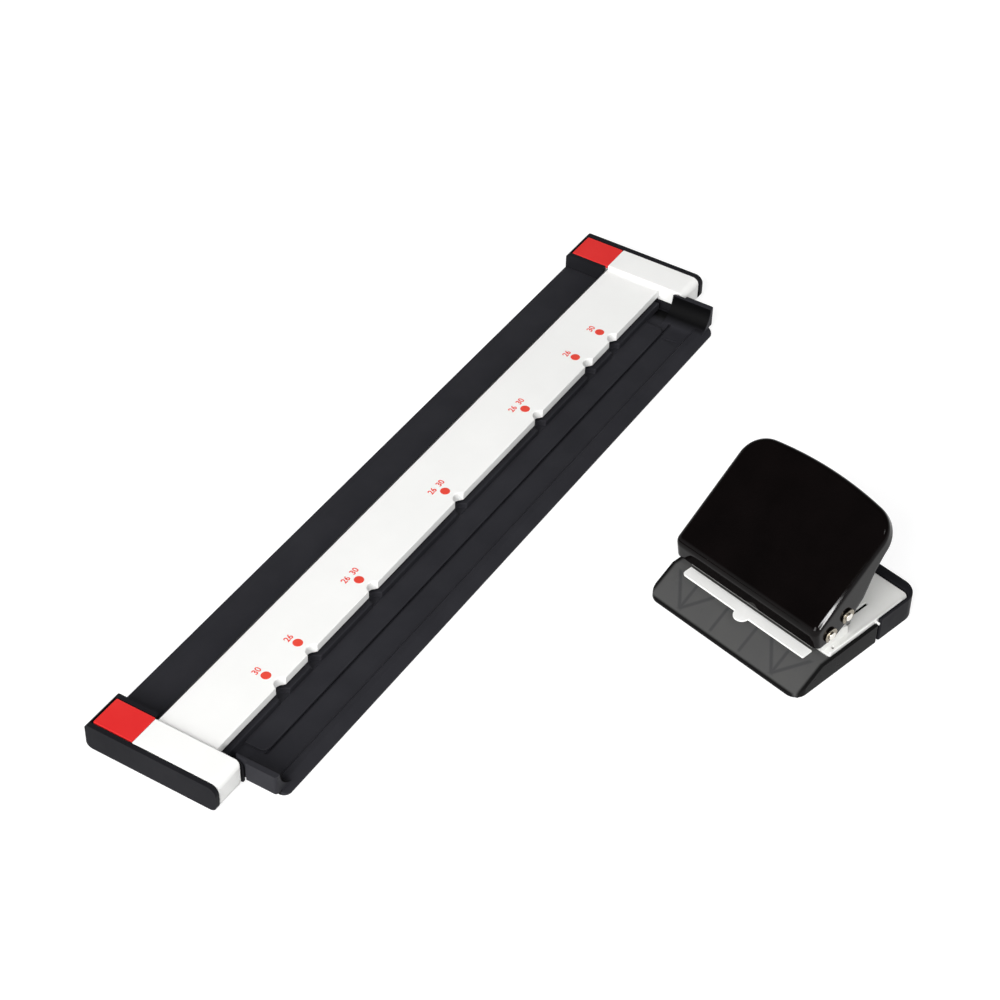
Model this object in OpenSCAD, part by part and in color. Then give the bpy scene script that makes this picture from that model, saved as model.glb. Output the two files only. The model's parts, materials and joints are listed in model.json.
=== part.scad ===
// Multi-hole punch set: a long paper gauge with a sprung clamp bar, and a six-pin lever punch
// that steps along it from notch to notch.
// Row frame: X along the gauge, +Y to its rear, +Z up, origin at the middle of the gauge on the desk.

/* [Gauge] */
// Clear paper length between the end housings
paper_len = 299; // [280:1:340]
// Width of each end housing, from the paper table to the end plate
bay_w = 15.9; // [14.5:0.1:20]
// Thickness of the end plates
end_plate_t = 2; // [1.6:0.1:3]
// Rear edge of the gauge, measured behind the middle
gauge_rear = 36; // [35:0.1:41]
// Front edge of the gauge, measured forward of the middle
gauge_front = 34.8; // [34.5:0.1:40]
// Height of the end housings above the desk
housing_h = 11.1; // [11:0.1:13]
// Height of the paper table above the desk
table_h = 4.6; // [4:0.1:5.2]
// Height of the tray floor above the desk
tray_floor_h = 1.5; // [1.3:0.1:1.8]
// Front face of the paper table, measured forward of the middle
ledge_front = 9; // [8:0.1:11]
// How far rubber feet stand proud of the underside
foot_proud = 0.3; // [0.2:0.1:0.6]
// Depth of the guide shelf in front of the table
shelf_depth = 9; // [7:0.1:10]
// Height of the guide shelf's top above the desk
shelf_h = 2.5; // [2.2:0.1:3]
// Distance from the table's end to the end of the guide shelf
shelf_inset = 11.5; // [9:0.5:14]
// Depth of the sloping front rim
rim_depth = 6.1; // [5:0.1:8]
// Height of the front rim above the desk
rim_h = 2.8; // [2.4:0.1:4]
// Radius of the concave end scoops of the tray
scoop_r = 9.8; // [8:0.1:11]

/* [Clamp bar] */
// Depth of the clamp bar, front to rear
bar_depth = 24.8; // [22:0.2:27]
// How far the bar's top front edge lies forward of the middle
bar_front = 7.4; // [7:0.1:9]
// Thickness of the clamp bar
bar_t = 4.1; // [3.5:0.1:4.5]
// Paper gap under the closed bar
paper_gap = 0.8; // [0.6:0.1:1.2]
// Radius of the index notches
notch_r = 3; // [2.5:0.1:3.4]
// Length of each end block, forward of the middle
block_front = 18.6; // [16:0.1:20]
// Height of the hinge axis above the desk
hinge_h = 7.5; // [7:0.1:8]
// Distance of the hinge axis from the bar's rear edge
hinge_inset = 1.2; // [1:0.1:3]
// Radius of the hinge pins
hinge_r = 1.3; // [1:0.1:1.6]
// Thickness of the red press pads
pad_t = 1.5; // [1.2:0.1:2]
// Thickness of the tails that carry the press pads
tail_t = 2.2; // [1.8:0.1:2.6]
// Radius of the clamp springs, at the middle of the wire
clamp_spring_r = 2.8; // [2.2:0.1:3.4]
// Wire radius of the clamp springs
clamp_wire_r = 0.3; // [0.2:0.05:0.4]

/* [Index positions] */
// Pitch of the punched holes
hole_pitch = 9.5; // [9.2:0.1:10]
// Holes made at one stroke
holes_per_stroke = 6; // [4:1:6]

/* [Punch base] */
// How far the punch base stands outside the lever, on each side
base_over = 2.6; // [2.4:0.1:6]
// Depth of the punch base
base_depth = 66.5; // [62:0.5:76]
// Height of the ramp's top and of the tray's side walls
ramp_h = 9.2; // [8.6:0.1:9.3]
// Run of the front ramp
ramp_run = 13; // [11:0.1:14]
// Thickness of the ramp's nose
nose_h = 1.6; // [1.4:0.1:2.4]
// Wall thickness of the base mouldings
base_wall = 1.3; // [1:0.1:1.6]
// Height of the rear base's rim
rear_rim_h = 11; // [10.6:0.1:12]
// Depth of the chip tray, from the nose to its rear end
chip_tray_depth = 43.3; // [41:0.1:46]
// Gap between the chip tray and the rear base
tray_gap = 1; // [0.8:0.1:1.5]

/* [Punch stack] */
// Height of the frame plate's top above the desk
frame_h = 9.5; // [9.4:0.1:10]
// Thickness of the frame plate
frame_t = 1; // [0.8:0.1:1.4]
// Front edge of the frame plate behind the nose
frame_front = 18.2; // [18:0.1:20]
// Thickness of the die plate
die_t = 0.8; // [0.6:0.1:1.2]
// Front edge of the die plate behind the nose
die_front = 10.3; // [9.5:0.1:12]
// Height of the paper throat
throat_h = 1; // [0.8:0.1:1.4]
// Thickness of the pin guide
guide_t = 1.4; // [1:0.1:1.8]
// Radius of the punch pins
pin_r = 2.8; // [2.2:0.1:3]
// Row of punch pins behind the nose
pin_row = 26.5; // [26:0.1:28]
// Distance from the pin row to the paper stop
hole_margin = 6.3; // [6:0.1:7]
// Thickness of the pin holder bar
holder_t = 2; // [1.6:0.1:2.4]

/* [Lever] */
// How far the lever's sides stand outside the punch stack
lever_over = 4.6; // [4.2:0.1:7]
// Length of the lever's top, front fold to rear edge
lever_len = 52; // [46:0.5:60]
// Slope of the lever at rest
lever_slope = 36.5; // [34:0.5:44]
// Front fold of the lever behind the nose
fold_y = 9.5; // [9:0.1:11]
// Height of the lever's front fold
fold_h = 25; // [25:0.1:27]
// Sheet thickness of the lever
lever_t = 1.2; // [0.8:0.1:1.4]
// Radius of the lever's rear corners
lever_corner_r = 11; // [8:0.5:14]
// Lever pivot behind the nose
pivot_y = 18; // [17.5:0.1:18.5]
// Height of the lever pivot
pivot_h = 19.7; // [19:0.1:20.5]
// Height of the drive pin
drive_h = 23.3; // [23:0.1:24]
// Radius of the pivot and drive pins
lever_pin_r = 1.6; // [1.2:0.1:1.8]

/* [Standing place] */
// Punch nose, along the gauge from the middle
stand_x = -7.7; // [-40:0.1:40]
// Punch nose, forward of the gauge's middle
stand_front = 123.1; // [110:0.1:160]
// Turn of the punch on the desk
stand_turn = -104; // [-180:1:180]

/* [Hidden] */
$fn = 64;

// Fits shared by all pieces
run_fit = 0.05;
side_fit = 0.3;
seat_fit = 0.1;
cut = 0.5;

// Gauge, worked out from the driving sizes
table_x = paper_len / 2;
plate_in = table_x + bay_w;
gauge_x = plate_in + end_plate_t;
rear_y = gauge_rear;
front_y = -gauge_front;
ledge_y = -ledge_front;
under_z = foot_proud;
bar_z = table_h + paper_gap;
bar_top = bar_z + bar_t;
bar_y0 = -bar_front;
bar_y1 = bar_y0 + bar_depth;
bar_lead = 0.5;
notch_y = bar_y0 - 0.8;
hinge_y = bar_y1 - hinge_inset;
hinge_boss_r = hinge_r + 0.7;
hinge_boss_len = 1.5;
frame_wall = 1.8;
rear_lip = 1;
end_r = [3, 2.5, 1.5, 3.5];
pad_gap = 0.4;
swing_gap = 0.8;
block_in = table_x + 2.5;
block_out = plate_in - side_fit;
block_z = tray_floor_h + 1.7;
skirt_z = under_z + 0.5;
block_edge_r = 3;
block_corner_r = 1.5;
pad_in = table_x + frame_wall + pad_gap;
pad_out = plate_in - 2 * side_fit;
pad_rear = rear_y - rear_lip - 0.7;
tail_top = housing_h - pad_t;
tail_z = tail_top - tail_t;
tail_inset = 0.5;
housing_floor = tray_floor_h + 0.1;
spring_y = (hinge_y + pad_rear) / 2 + 1;
spring_x = (pad_in + pad_out) / 2;
shelf_x = table_x - shelf_inset;
shelf_y = ledge_y - shelf_depth;
shelf_corner_r = 3;
groove_w = 1.2;
groove_deep = 0.8;
rim_y = front_y + rim_depth;
rim_top_w = 2.4;
tray_x = table_x - 0.1;
tray_corner_r = 3;
scoop_x = shelf_x + 1.9;
scoop_foot_x = tray_x - 0.6;
scoop_back_x = table_x + 1.2;
scoop_lip_x = table_x + 2.4;
scoop_y0 = front_y + 2.1;
scoop_y1 = -bar_front - 7.5;
scoop_corner_r = 1;
scoop_floor_run = 3;
scoop_step_z = 2.8;
end_front = -block_front - 0.6;
lip_y1 = end_front - 0.9;
guard_in = scoop_back_x + side_fit;
guard_out = block_in - side_fit;
guard_top = housing_h - 1;
guard_rear = scoop_y1 - side_fit;
tongue_len = 11;
tongue_y0 = -4;
tongue_y1 = rear_y - 6;
grip_w = 3;
grip_deep = 0.8;
grip_y = [bar_y0 + 5, bar_y1 - 8];

// Index stations: the seven places where the punch's tab meets a notch
stroke_step = hole_pitch * holes_per_stroke;
stations = [-2 * stroke_step, -10 * hole_pitch, -stroke_step, 0, stroke_step, 10 * hole_pitch,
            2 * stroke_step];

// Punch, worked out in its own frame: x to its right, y to its rear, nose at y = 0
stack_x = holes_per_stroke * hole_pitch / 2 + 0.5;
half_lever = stack_x + lever_over;
half_base = half_lever + base_over;
base_z = foot_proud + 0.1;
tray_floor_t = 1.2;
chip_floor = base_z + tray_floor_t;
rear_y0 = chip_tray_depth + tray_gap;
nose_corner_r = 5;
rear_corner_r = 7;
rear_wall = 3.8;
frame_z = frame_h - frame_t;
plate_x = half_base - base_wall - 0.4;
plate_rear = base_depth - rear_wall;
edge_t = 1;
edge_h = 0.8;
lug_w = tray_gap - 2 * seat_fit;
box_x = stack_x - 2;
box_wall = 1;
runner_x0 = box_x + box_wall + side_fit;
runner_x1 = half_base - base_wall - 1.4;
chip_lip = frame_z - side_fit;
band_end = frame_front - side_fit;
die_z = frame_h;
die_top = die_z + die_t;
guide_z = die_top + throat_h;
guide_top = guide_z + guide_t;
stop_y = pin_row + hole_margin;
stack_rear = stop_y + 3.2;
guide_front = die_front + 4.9;
hump_w = 11;
hump_h = 2.2;
hump_t = 1.2;
hump_r = 1.5;
tab_r = 3.1;
die_r = pin_r + run_fit;
chip_r = pin_r + 0.7;
pin_x = [for (i = [0 : holes_per_stroke - 1]) (i - (holes_per_stroke - 1) / 2) * hole_pitch];
drive_y = pin_row;
holder_top = drive_h - lever_pin_r - seat_fit;
holder_z = holder_top - holder_t;
holder_half = 4;
neck_r = pin_r - 1;
pin_tip = guide_z + 0.2;
cheek_x0 = stack_x + 1;
cheek_t = 1.2;
cheek_x1 = cheek_x0 + cheek_t;
cheek_r = 3.8;
clip_t = 0.7;
clip_r = lever_pin_r + 1.3;
groove_r = lever_pin_r - 0.4;
clip_x = half_lever + 0.2;
lever_pin_x = clip_x + clip_t + 0.5;
rivet_r = 1.2;
rivet_x = 2 * hole_pitch;
rivet_y = (stop_y + stack_rear) / 2;
screw_r = 1.3;
screw_head_r = 2.4;
screw_head_h = 1.4;
frame_screw_x = 1.3 * hole_pitch;
frame_screw_y = base_depth - 9;
foot_r = 4;
foot_seat = 0.5;

// Points of a helix with its ends squared off to the coil's axis
function helix(r, z0, z1, turns, rings) = [for (i = [0 : turns * rings])
    let (a = 360 * i / rings, z = z0 + (z1 - z0) * i / (turns * rings)) [r * cos(a), r * sin(a), z]];
function least_gap(p, skip) = min([for (i = [0 : len(p) - 1]) for (j = [i + skip : 1 : len(p) - 1])
    norm(p[i] - p[j])]);

// Arc of radius r that rounds the corner p, whose sides leave it along the unit vectors a and b
function unit(v) = v / norm(v);
function corner_arc(p, a, b, r, steps = 8) =
    let (half = acos(a * b) / 2, t = r / tan(half), c = p + unit(a + b) * r / sin(half))
    let (v0 = p + a * t - c, v1 = p + b * t - c, w = 180 - 2 * half)
    [for (k = [0 : steps]) c + (v0 * sin(w * (1 - k / steps)) + v1 * sin(w * k / steps)) / sin(w)];

// Outline p with each corner i rounded by an arc of radius r[i]
function rounded(p, r) = let (last = len(p) - 1) [for (i = [0 : last])
    let (a = unit(p[i > 0 ? i - 1 : last] - p[i]), b = unit(p[i < last ? i + 1 : 0] - p[i]))
    each r[i] > 0 ? corner_arc(p[i], a, b, r[i], 4) : [p[i]]];

// Lever outlines, in the lever's own frame: s up the slope from the front fold, n square to it
function slope_s(y, z) = (y - fold_y) * cos(lever_slope) + (z - fold_h) * sin(lever_slope);
function slope_n(y, z) = (z - fold_h) * cos(lever_slope) - (y - fold_y) * sin(lever_slope);
function on_slope(y, z) = [slope_s(y, z), slope_n(y, z)];
lever_edge_r = 2.5;
lever_bow_r = 150;
lever_skirt = 24;
rear_rim = 5;
lip_drop = 8.5;
lip_back = 1.4;
lip_end = on_slope(fold_y + lip_back, fold_h - lip_drop);
lip_dir = unit(lip_end);
corner_x = half_lever - lever_corner_r;
corner_s = lever_len - lever_bow_r + sqrt(pow(lever_bow_r - lever_corner_r, 2) - pow(corner_x, 2));
flange_edge = [
    on_slope(pivot_y - 4.5, pivot_h - 4.3),
    on_slope(pivot_y + 3.7, pivot_h - 3.4),
    on_slope(drive_y + 4.8, drive_h - 1.5),
    on_slope(drive_y + 8.8, drive_h + 2.7),
    [lever_len - 20.8, -9.3],
    [lever_len - 14.8, -7.5],
    [lever_len, -rear_rim]];
function lever_side(d) =
    let (front = [d / cross([1, 0], -lip_dir), -d])
    concat(
        corner_arc(front, lip_dir, [1, 0], lever_edge_r - d),
        corner_arc([lever_len - d, -d], [-1, 0], [0, -1], lever_edge_r - d));

// Plain shapes used all over
module box(a, b) {
    translate(a) cube(b - a);
}
module rod_x(r, x0, x1, y, z) {
    translate([x0, y, z]) rotate([0, 90, 0]) cylinder(r = r, h = x1 - x0);
}
// Tool for a round hole right through a sheet from z to z + h
module hole(r, z, h) {
    translate([0, 0, z - cut]) cylinder(r = r, h = h + 2 * cut);
}
// Tool for a round pocket of the given depth, cut upwards from z
module pocket(r, z, deep) {
    translate([0, 0, z - cut]) cylinder(r = r, h = cut + deep);
}
module along_x(x0, x1) {
    translate([x0, 0, 0]) rotate([90, 0, 90]) linear_extrude(x1 - x0) children();
}
module along_y(y0, y1) {
    translate([0, y1, 0]) rotate([90, 0, 0]) linear_extrude(y1 - y0) children();
}
module slab(z0, z1) {
    translate([0, 0, z0]) linear_extrude(z1 - z0) children();
}
module both_sides() {
    for (side = [0, 1]) mirror([side, 0, 0]) children();
}
// Rectangle with its own radius at each corner: low left, low right, high right, high left
module plan(x0, x1, y0, y1, r) {
    corners = [[x0, y0, 1, 1], [x1, y0, -1, 1], [x1, y1, -1, -1], [x0, y1, 1, -1]];
    difference() {
        translate([x0, y0]) square([x1 - x0, y1 - y0]);
        for (i = [0 : 3]) if (r[i] > 0) translate([corners[i][0], corners[i][1]]) difference() {
            translate([corners[i][2] * r[i] / 2, corners[i][3] * r[i] / 2] - [r[i], r[i]] * 0.51)
                square(r[i] * 1.02);
            translate([corners[i][2] * r[i], corners[i][3] * r[i]]) circle(r[i]);
        }
    }
}
// Tube of six sides along a helix, its ends running straight into what they press on
module spring(r, wire_r, z0, z1, turns) {
    rings = 8;
    sides = 6;
    stub = 2 * wire_r;
    coil = helix(r, z0 + stub, z1 - stub, turns, rings);
    path = concat([[r, 0, z0]], coil, [[r, 0, z1]]);
    last = len(path) - 1;
    points = [for (i = [0 : last])
        let (t = unit(path[min(i + 1, last)] - path[max(i - 1, 0)]))
        let (out = unit([path[i][0], path[i][1], 0]), e1 = unit(out - t * (out * t)), e2 = cross(t, e1))
        for (k = [0 : sides - 1])
            path[i] + wire_r * (cos(360 * k / sides) * e1 + sin(360 * k / sides) * e2)];
    walls = [for (i = [0 : last - 1]) for (k = [0 : sides - 1])
        let (a = i * sides + k, b = i * sides + (k + 1) % sides)
        for (face = [[a, a + sides, b], [b, a + sides, b + sides]]) face];
    ends = [for (k = [1 : sides - 2]) for (face = [[0, k, k + 1],
        [last * sides, last * sides + k + 1, last * sides + k]]) face];
    polyhedron(points, concat(walls, ends));
    least = least_gap(coil, 5) - 2 * wire_r;
    echo(str("spring of radius ", r, ": least gap between curls ", least, " mm"));
}

// Gauge
module table_screw_places() {
    for (x = [-table_x + tongue_len / 2, table_x - tongue_len / 2])
        for (y = [tongue_y0 + 5, tongue_y1 - 5]) translate([x, y, 0]) children();
    for (x = [stations[1], stations[5]]) translate([x, tongue_y0 + 5, 0]) children();
}
module gauge_foot_places() {
    children();
    for (x = [-1, 1]) {
        translate([x * (tray_x - 16), rim_y + 5.5, 0]) children();
        translate([x * (plate_in - 7), rear_y - 8, 0]) children();
    }
}
module gauge_underside_cuts() {
    table_screw_places() {
        translate([0, 0, under_z - cut]) cylinder(r = screw_r + run_fit, h = table_h);
        pocket(screw_head_r + seat_fit, under_z, 0.6);
    }
    gauge_foot_places() pocket(foot_r + seat_fit, under_z, foot_seat);
}
module paper_table() {
    cells = 10;
    cell_w = 2 * (table_x - tongue_len - 3) / cells;
    rib = 1.6;
    color("#2a2a2e") difference() {
        box([-table_x, ledge_y, tray_floor_h], [table_x, rear_y, table_h]);
        for (x = stations) translate([x, ledge_y, shelf_h]) cylinder(r = notch_r, h = table_h);
        for (i = [0 : cells - 1]) translate([(i - cells / 2) * cell_w, 0, 0])
            box([rib, tongue_y0 + 9, tray_floor_h - cut], [cell_w, rear_y - 3, table_h - 1.8]);
        table_screw_places()
            translate([0, 0, under_z]) cylinder(r = screw_r + run_fit, h = table_h - 1.2);
    }
}
module scoop_end() {
    intersection() {
        along_y(scoop_y0, scoop_y1) difference() {
            polygon([[scoop_x, tray_floor_h - cut], [scoop_foot_x, tray_floor_h - cut],
                [scoop_foot_x, scoop_step_z], [scoop_lip_x, scoop_step_z], [scoop_lip_x, housing_h],
                [scoop_x, housing_h]]);
            translate([scoop_x, tray_floor_h + scoop_r]) circle(scoop_r);
        }
        slab(0, housing_h + cut) {
            plan(scoop_x, scoop_lip_x, scoop_y0, lip_y1, [0, scoop_corner_r, 0, 0]);
            plan(scoop_x, scoop_back_x, lip_y1 - cut, scoop_y1, [0, 0, scoop_corner_r, 0]);
        }
    }
}
// Arrow mark sunk in the tray's floor near its far end
module tray_mark() {
    tip = [shelf_x - 4.6, shelf_y - 1.2];
    slab(tray_floor_h - groove_deep / 2, shelf_h)
        polygon([tip, tip + [1.5, -6.9], tip + [-1.6, -6.4]]);
}
module base_tray() {
    pan_x = table_x - tongue_len - side_fit;
    color("#2a2a2e") difference() {
        union() {
            intersection() {
                along_x(-tray_x, tray_x) polygon(rounded([[front_y, under_z], [ledge_y + 1, under_z],
                    [ledge_y + 1, tray_floor_h], [rim_y + 1, tray_floor_h], [rim_y, rim_h],
                    [rim_y - rim_top_w, rim_h], [front_y, under_z + 0.6]], [0, 0, 0, 0.6, 0.6, 1.5, 0.4]));
                slab(0, housing_h) plan(-tray_x, tray_x, front_y, ledge_y + 1,
                    [tray_corner_r, tray_corner_r, 0, 0]);
            }
            box([-pan_x, ledge_y, under_z], [pan_x, rear_y - 1, tray_floor_h]);
            both_sides() scoop_end();
        }
        box([-shelf_x, shelf_y - groove_w * 0.6, tray_floor_h - groove_deep],
            [scoop_x + scoop_floor_run, shelf_y + groove_w * 0.4, shelf_h]);
        tray_mark();
        gauge_underside_cuts();
    }
}
module guide_shelf() {
    color("#323236") slab(tray_floor_h, shelf_h)
        plan(-shelf_x, shelf_x, shelf_y, ledge_y, [shelf_corner_r, shelf_corner_r, 0, 0]);
}
// End housing on the +X end; the other end is its mirror image
module end_housing() {
    into = end_plate_t / 2;
    rear_r = [0, end_r[1], end_r[2], 0];
    well_r = 2;
    difference() {
        union() {
            along_x(plate_in, gauge_x) plan(end_front, rear_y, under_z, housing_h, end_r);
            along_x(table_x, table_x + frame_wall)
                plan(bar_y1 + swing_gap, rear_y, under_z, housing_h, rear_r);
            along_x(table_x, plate_in + into) difference() {
                plan(ledge_y, rear_y, under_z, housing_h, rear_r);
                plan(ledge_y - 1, rear_y - rear_lip, housing_floor, housing_h + 1, [0, well_r, 0, 0]);
            }
            rod_x(hinge_boss_r, plate_in - hinge_boss_len, plate_in + into, hinge_y, hinge_h);
            along_x(guard_in, guard_out)
                plan(end_front + side_fit, guard_rear, under_z, guard_top, [1, 0, 0, block_edge_r]);
            box([guard_in, guard_rear - 1, under_z], [guard_out, bar_y1, table_h]);
            box([table_x, scoop_y1 + side_fit, under_z], [guard_out, ledge_y + 1, housing_floor]);
            box([table_x - tongue_len, tongue_y0, under_z], [table_x + 1, tongue_y1, tray_floor_h]);
        }
        rod_x(hinge_r + run_fit, plate_in - hinge_boss_len - cut, gauge_x - 0.8, hinge_y, hinge_h);
        gauge_underside_cuts();
    }
}
module end_housing_near() {
    color("#2a2a2e") mirror([1, 0, 0]) end_housing();
}
module end_housing_far() {
    color("#2a2a2e") end_housing();
}
module end_block() {
    pin_in = block_in + 3;
    difference() {
        union() {
            intersection() {
                along_x(block_in - 1, block_out) union() {
                    plan(-block_front, bar_y1, block_z, housing_h, [0, 0, 0, block_edge_r]);
                    plan(-block_front, ledge_y - 0.4, skirt_z, housing_h - block_edge_r, [1, 0, 0, 0]);
                }
                slab(0, housing_h + cut)
                    plan(block_in, block_out, -block_front, bar_y1, [block_corner_r, 0.6, 0, 0]);
            }
            box([pad_in + tail_inset, bar_y1 - 1, tail_z],
                [pad_out - tail_inset, pad_rear - tail_inset, tail_top]);
        }
        rod_x(hinge_boss_r + side_fit, plate_in - hinge_boss_len - side_fit, block_out + cut,
            hinge_y, hinge_h);
        rod_x(hinge_r + run_fit, pin_in - side_fit, block_out, hinge_y, hinge_h);
    }
}
module clamp_bar() {
    color("#f6f6f4") difference() {
        union() {
            along_x(-block_in - 1, block_in + 1) polygon([[bar_y0 + 2 * bar_lead, bar_z], [bar_y1, bar_z],
                [bar_y1, bar_top], [bar_y0, bar_top], [bar_y0, bar_z + bar_lead]]);
            both_sides() end_block();
        }
        for (x = stations) translate([x, notch_y, 0]) hole(notch_r, bar_z, bar_t);
        for (y = grip_y) box([-table_x + 3, y - seat_fit, bar_z - cut],
            [table_x - 3, y + grip_w + seat_fit, bar_z + grip_deep]);
    }
}
module grip_strips() {
    color("#3a3a3a") for (y = grip_y)
        box([-table_x + 4, y, table_h + side_fit], [table_x - 4, y + grip_w, bar_z + grip_deep]);
}
module press_pad() {
    slab(tail_top, housing_h) plan(pad_in, pad_out, bar_y1 + 0.15, pad_rear, [0.5, 0.5, 0.5, 0.5]);
}
module press_pad_near() {
    color("#e0302e") mirror([1, 0, 0]) press_pad();
}
module press_pad_far() {
    color("#e0302e") press_pad();
}
module hinge_pins() {
    color("silver") both_sides() rod_x(hinge_r, block_in + 3, gauge_x - 0.9, hinge_y, hinge_h);
}
module clamp_springs() {
    color("silver") for (side = [-1, 1]) translate([side * spring_x, spring_y, 0])
        spring(clamp_spring_r, clamp_wire_r, housing_floor, tail_z - seat_fit, 4);
}
module gauge_feet() {
    color("#505050") gauge_foot_places() cylinder(r = foot_r, h = under_z + foot_seat);
}
module gauge_screws() {
    color("silver") table_screw_places() translate([0, 0, under_z]) {
        cylinder(r = screw_r, h = table_h - under_z - 1.6);
        cylinder(r = screw_head_r, h = 0.5);
    }
}

// Punch
module at_punch() {
    translate([stand_x, -stand_front, 0]) rotate([0, 0, stand_turn]) children();
}
module pin_places() {
    for (x = pin_x) translate([x, pin_row, 0]) children();
}
module frame_screw_places() {
    for (side = [-1, 1]) translate([side * frame_screw_x, frame_screw_y, 0]) children();
}
module rivet_places() {
    for (side = [-1, 1]) translate([side * rivet_x, rivet_y, 0]) children();
}
module tray_foot_places() {
    for (side = [-1, 1]) translate([side * (half_base - 14), ramp_run + foot_r + 2, 0]) children();
}
module rear_foot_places() {
    for (side = [-1, 1]) translate([side * (half_base - 9), base_depth - 9, 0]) children();
}
module tray_plan() {
    plan(-half_base, half_base, 0, chip_tray_depth, [nose_corner_r, nose_corner_r, 0.8, 0.8]);
}
// Ribs under the ramp: a fan of three near each end and two straight ones between
module ramp_ribs() {
    rib = 0.8;
    reach = [2.2, ramp_run - 1];
    fan_x = half_base * 0.61;
    fan_half = 9;
    module rib_line(a, b) {
        turn = atan2(b[1] - a[1], b[0] - a[0]);
        translate(a) rotate(turn) translate([0, -rib / 2]) square([norm(b - a), rib]);
    }
    both_sides() {
        for (lean = [-1 : 1]) rib_line([fan_x, reach[0]], [fan_x + lean * fan_half, reach[1]]);
        rib_line([half_base * 0.19, reach[0]], [half_base * 0.19, reach[1]]);
    }
}
module chip_tray() {
    skin = base_wall;
    back = ramp_run - 1.5;
    color("#5f5f5c", 0.8) at_punch() difference() {
        union() {
            intersection() {
                slab(base_z, ramp_h) tray_plan();
                union() {
                    along_x(-half_base, half_base) polygon([[0, base_z], [0, nose_h], [ramp_run, ramp_h],
                        [band_end, ramp_h], [band_end, ramp_h - skin], [ramp_run + 0.4, ramp_h - skin],
                        [skin * 1.6, base_z]]);
                    both_sides() along_x(half_base - base_wall, half_base) polygon([[0, base_z], [0, nose_h],
                        [ramp_run, ramp_h], [chip_tray_depth, ramp_h], [chip_tray_depth, base_z]]);
                    box([-half_base, back, base_z], [half_base, chip_tray_depth, chip_floor]);
                    box([-half_base, back, base_z], [half_base, back + box_wall, ramp_h - skin]);
                }
            }
            intersection() {
                slab(base_z, ramp_h) ramp_ribs();
                along_x(-half_base, half_base) polygon([[0, base_z], [0, nose_h - 0.4],
                    [ramp_run, ramp_h - 0.4], [ramp_run, base_z]]);
            }
            both_sides() box([box_x, back, base_z], [box_x + box_wall, chip_tray_depth, chip_lip]);
            box([-box_x - box_wall, chip_tray_depth - box_wall, base_z],
                [box_x + box_wall, chip_tray_depth, chip_lip]);
        }
        tray_foot_places() pocket(foot_r + seat_fit, base_z, foot_seat);
    }
}
module tray_feet() {
    color("#505050") at_punch() tray_foot_places() cylinder(r = foot_r, h = base_z + foot_seat);
}
module rear_base() {
    floor_t = 1.2;
    inner_x = half_base - 2 * base_wall;
    color("#26262a") at_punch() difference() {
        union() {
            difference() {
                slab(base_z, rear_rim_h)
                    plan(-half_base, half_base, rear_y0, base_depth,
                        [0.8, 0.8, rear_corner_r, rear_corner_r]);
                slab(frame_z, rear_rim_h + cut) plan(-plate_x - side_fit, plate_x + side_fit, rear_y0 - 1,
                    plate_rear + side_fit, [0, 0, 3, 3]);
                slab(base_z + floor_t, frame_z + cut) plan(-inner_x, inner_x, rear_y0 + 2 * base_wall,
                    plate_rear - base_wall, [0, 0, 3, 3]);
            }
            both_sides() box([runner_x0, frame_front + 0.5, chip_floor + side_fit],
                [runner_x1, rear_y0 + base_wall, frame_z]);
            frame_screw_places()
                translate([0, 0, base_z]) cylinder(r = screw_r + 1.6, h = frame_z - base_z);
        }
        frame_screw_places()
            translate([0, 0, base_z + floor_t]) cylinder(r = screw_r + run_fit, h = frame_h);
        rear_foot_places() pocket(foot_r + seat_fit, base_z, foot_seat);
    }
}
module rear_feet() {
    color("#505050") at_punch() rear_foot_places() cylinder(r = foot_r, h = base_z + foot_seat);
}
module cheek_outline() {
    polygon([[frame_front, frame_z], [drive_y + 6, frame_z], [drive_y + 5, frame_h + 3.5],
        [pivot_y + cheek_r, pivot_h - 3], [pivot_y + cheek_r, pivot_h], [pivot_y - cheek_r, pivot_h],
        [pivot_y - cheek_r, pivot_h - 4], [frame_front, frame_h + edge_h]]);
    translate([pivot_y, pivot_h]) circle(cheek_r);
}
module frame_plate() {
    slot_w = 1.2;
    slot_x = stack_x - 2.7;
    slot_y = [stack_rear + 3.8, stack_rear + 12.3];
    color("#e6e6e2") at_punch() difference() {
        union() {
            slab(frame_z, frame_h) plan(-plate_x, plate_x, frame_front, plate_rear, [1, 1, 3, 3]);
            both_sides() {
                box([plate_x - edge_t, frame_front + 1, frame_z],
                    [plate_x, plate_rear - 4, frame_h + edge_h]);
                box([plate_x - edge_t, chip_tray_depth + seat_fit, frame_z],
                    [half_base - seat_fit, chip_tray_depth + seat_fit + lug_w, frame_h]);
                along_x(cheek_x0, cheek_x1) cheek_outline();
            }
        }
        pin_places() hole(chip_r, frame_z, frame_t);
        rivet_places() hole(rivet_r + run_fit, frame_z, frame_t);
        frame_screw_places() hole(screw_r + run_fit, frame_z, frame_t);
        both_sides() {
            box([slot_x - slot_w / 2, slot_y[0], frame_z - cut],
                [slot_x + slot_w / 2, slot_y[1], frame_h + cut]);
            translate([cheek_x1 + 1.4, frame_front + 4.2, 0]) hole(0.6, frame_z, frame_t);
        }
        rod_x(lever_pin_r + run_fit, -half_base, half_base, pivot_y, pivot_h);
    }
}
module frame_screws() {
    color("silver") at_punch() frame_screw_places() {
        translate([0, 0, base_z + 2]) cylinder(r = screw_r, h = frame_h - base_z - 2);
        translate([0, 0, frame_h]) cylinder(r = screw_head_r, h = screw_head_h);
    }
}
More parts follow.
